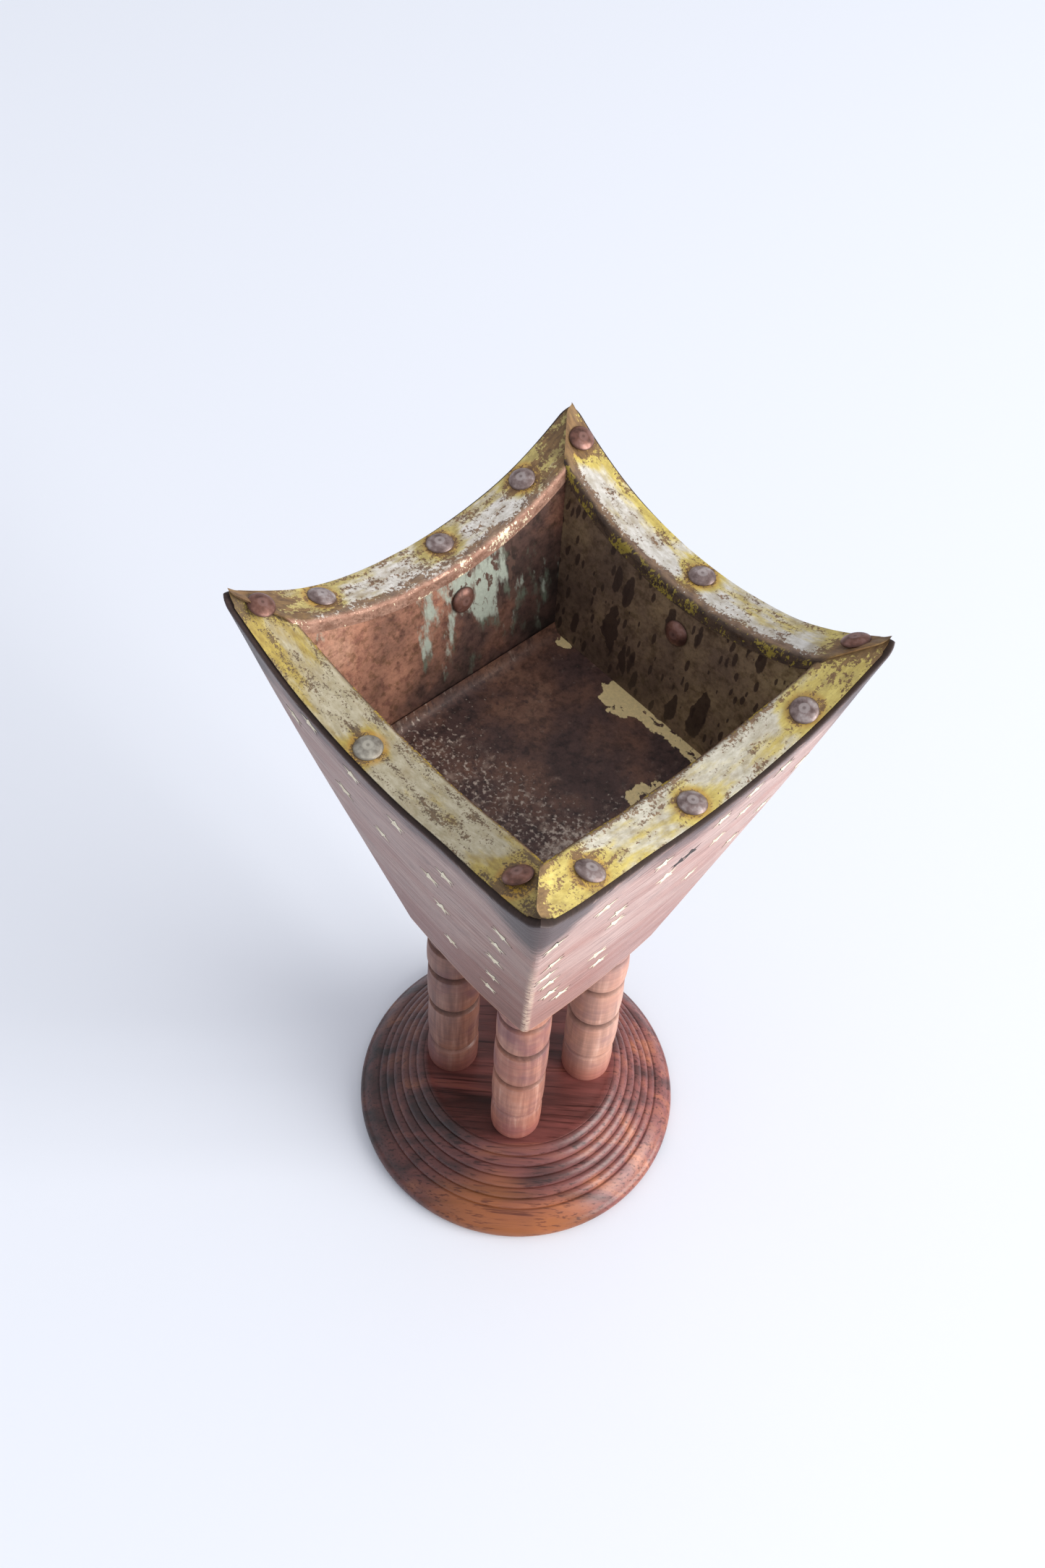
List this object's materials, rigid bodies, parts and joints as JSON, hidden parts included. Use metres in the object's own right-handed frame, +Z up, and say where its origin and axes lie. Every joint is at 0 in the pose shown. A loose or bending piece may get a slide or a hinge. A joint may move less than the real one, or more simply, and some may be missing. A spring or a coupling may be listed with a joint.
{
  "type": "incense burner",
  "caption": "Incense burner with a tapering square wooden cup lined in painted tin, held on turned legs above a ringed round base.",
  "frame": {"origin": "middle of the base's underside, on the surface that it stands on", "axes": "+Z up along the base's turning axis; +X and +Y square to two neighbouring sides of the cup"},
  "size_m": [0.1, 0.1, 0.2162],
  "materials": {
    "rosewood": "dark figured hardwood, turned and waxed",
    "leg_wood": "reddish brown hardwood, turned, thin worn varnish",
    "panel_wood": "weathered mauve brown board with a dull sheen",
    "star_inlay": "cream bone-like inlay, flush and matt",
    "painted_tin": "worn yellow and cream paint over rusting tin sheet",
    "rusted_tin": "rusted tin sheet with remains of pale green and cream paint",
    "tack_iron": "domed iron tack heads with purplish brown rust"
  },
  "bodies": {
    "root": {"base_disc": "rosewood", "leg_front_right": "leg_wood", "leg_back_right": "leg_wood", "leg_back_left": "leg_wood", "leg_front_left": "leg_wood", "bottom_board": "panel_wood", "panel_right": "panel_wood", "liner_wall_right": "rusted_tin", "rim_strip_right": "painted_tin", "panel_back": "panel_wood", "liner_wall_back": "rusted_tin", "rim_strip_back": "painted_tin", "panel_left": "panel_wood", "liner_wall_left": "rusted_tin", "rim_strip_left": "painted_tin", "panel_front": "panel_wood", "liner_wall_front": "rusted_tin", "rim_strip_front": "painted_tin", "liner_pan": "rusted_tin", "rim_tack_right_1": "tack_iron", "rim_tack_right_2": "tack_iron", "rim_tack_right_3": "tack_iron", "wall_tack_right": "tack_iron", "rim_tack_back_1": "tack_iron", "wall_tack_back": "tack_iron", "rim_tack_left_1": "tack_iron", "rim_tack_left_2": "tack_iron", "rim_tack_left_3": "tack_iron", "wall_tack_left": "tack_iron", "rim_tack_front_1": "tack_iron", "wall_tack_front": "tack_iron", "corner_tack_back_right": "tack_iron", "corner_tack_back_left": "tack_iron", "corner_tack_front_left": "tack_iron", "corner_tack_front_right": "tack_iron"}
  },
  "joints": []
}
